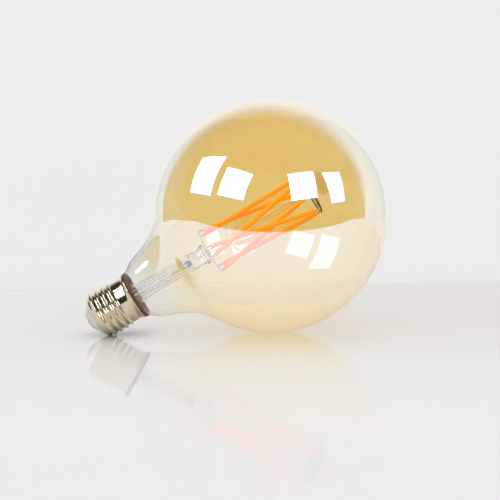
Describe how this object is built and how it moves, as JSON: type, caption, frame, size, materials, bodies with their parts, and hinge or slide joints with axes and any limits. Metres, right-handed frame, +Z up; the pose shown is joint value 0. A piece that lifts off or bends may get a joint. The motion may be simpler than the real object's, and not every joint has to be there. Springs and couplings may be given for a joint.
{
  "type": "smart light bulb",
  "caption": "Large globe filament bulb with an amber glass envelope, crossed orange LED filaments on a glass stem, a radio driver in the cap and a threaded metal screw cap.",
  "frame": {"origin": "centre of the bottom of the bulb's bounding box, on the table it lies on", "axes": "+Z up from the table, +X towards the globe end: the bulb's own axis lies in the XZ plane, 29.4 degrees above +X; -Y is the side seen from the front"},
  "size_m": [0.162, 0.125, 0.125],
  "materials": {
    "nickel_plate": "polished nickel plate on rolled brass sheet",
    "insulator_white": "pale insulator, slightly glossy",
    "contact_metal": "stamped contact disc",
    "solder": "flattened solder",
    "cement_brown": "baked basing cement",
    "glass_amber": "blown glass, clear at the neck and amber coated on the globe",
    "glass_clear": "clear stem glass",
    "wire_nickel": "drawn nickel wire",
    "wire_oxidised": "nickel wire blackened by the welding heat",
    "phosphor_orange": "silicone with phosphor, slightly rough",
    "strip_metal": "thin strip with bare pins",
    "sleeve_plastic": "moulded insulating cup",
    "board_green": "solder resist",
    "tin_lid": "tinned lid",
    "chip_black": "moulded package",
    "capacitor_sleeve": "shrink sleeve",
    "resistor_body": "lacquered",
    "ferrite": "pressed ferrite",
    "wire_white": "wire insulation",
    "heat_shrink_yellow": "heat-shrink tube"
  },
  "bodies": {
    "root": {"cap_shell": "nickel_plate", "cap_insulator": "insulator_white", "centre_contact": "contact_metal", "centre_solder": "solder", "basing_cement": "cement_brown", "glass_envelope": "glass_amber", "stem_glass": "glass_clear", "support_rod": "glass_clear", "exhaust_tube": "glass_clear", "lead_wire_live": "wire_nickel", "lead_wire_return": "wire_nickel", "lower_post": "wire_nickel", "board_pins": "wire_nickel", "neutral_wire": "wire_nickel", "live_wire": "wire_nickel", "upper_spoke_1": "wire_oxidised", "upper_spoke_2": "wire_oxidised", "upper_spoke_3": "wire_oxidised", "upper_hoop": "wire_oxidised", "filament_1": "phosphor_orange", "filament_2": "phosphor_orange", "filament_3": "phosphor_orange", "filament_4": "phosphor_orange", "filament_5": "phosphor_orange", "filament_6": "phosphor_orange", "filament_strip_1": "strip_metal", "filament_strip_2": "strip_metal", "filament_strip_3": "strip_metal", "filament_strip_4": "strip_metal", "filament_strip_5": "strip_metal", "filament_strip_6": "strip_metal", "driver_sleeve": "sleeve_plastic", "power_board": "board_green", "radio_board": "board_green", "radio_shield": "tin_lid", "radio_chip": "chip_black", "dimmer_transistor": "chip_black", "bridge_rectifier": "chip_black", "driver_chip": "chip_black", "storage_capacitor": "capacitor_sleeve", "fuse_resistor": "resistor_body", "inductor": "ferrite", "antenna_wire": "wire_white", "antenna_sleeve": "heat_shrink_yellow"}
  },
  "joints": []
}
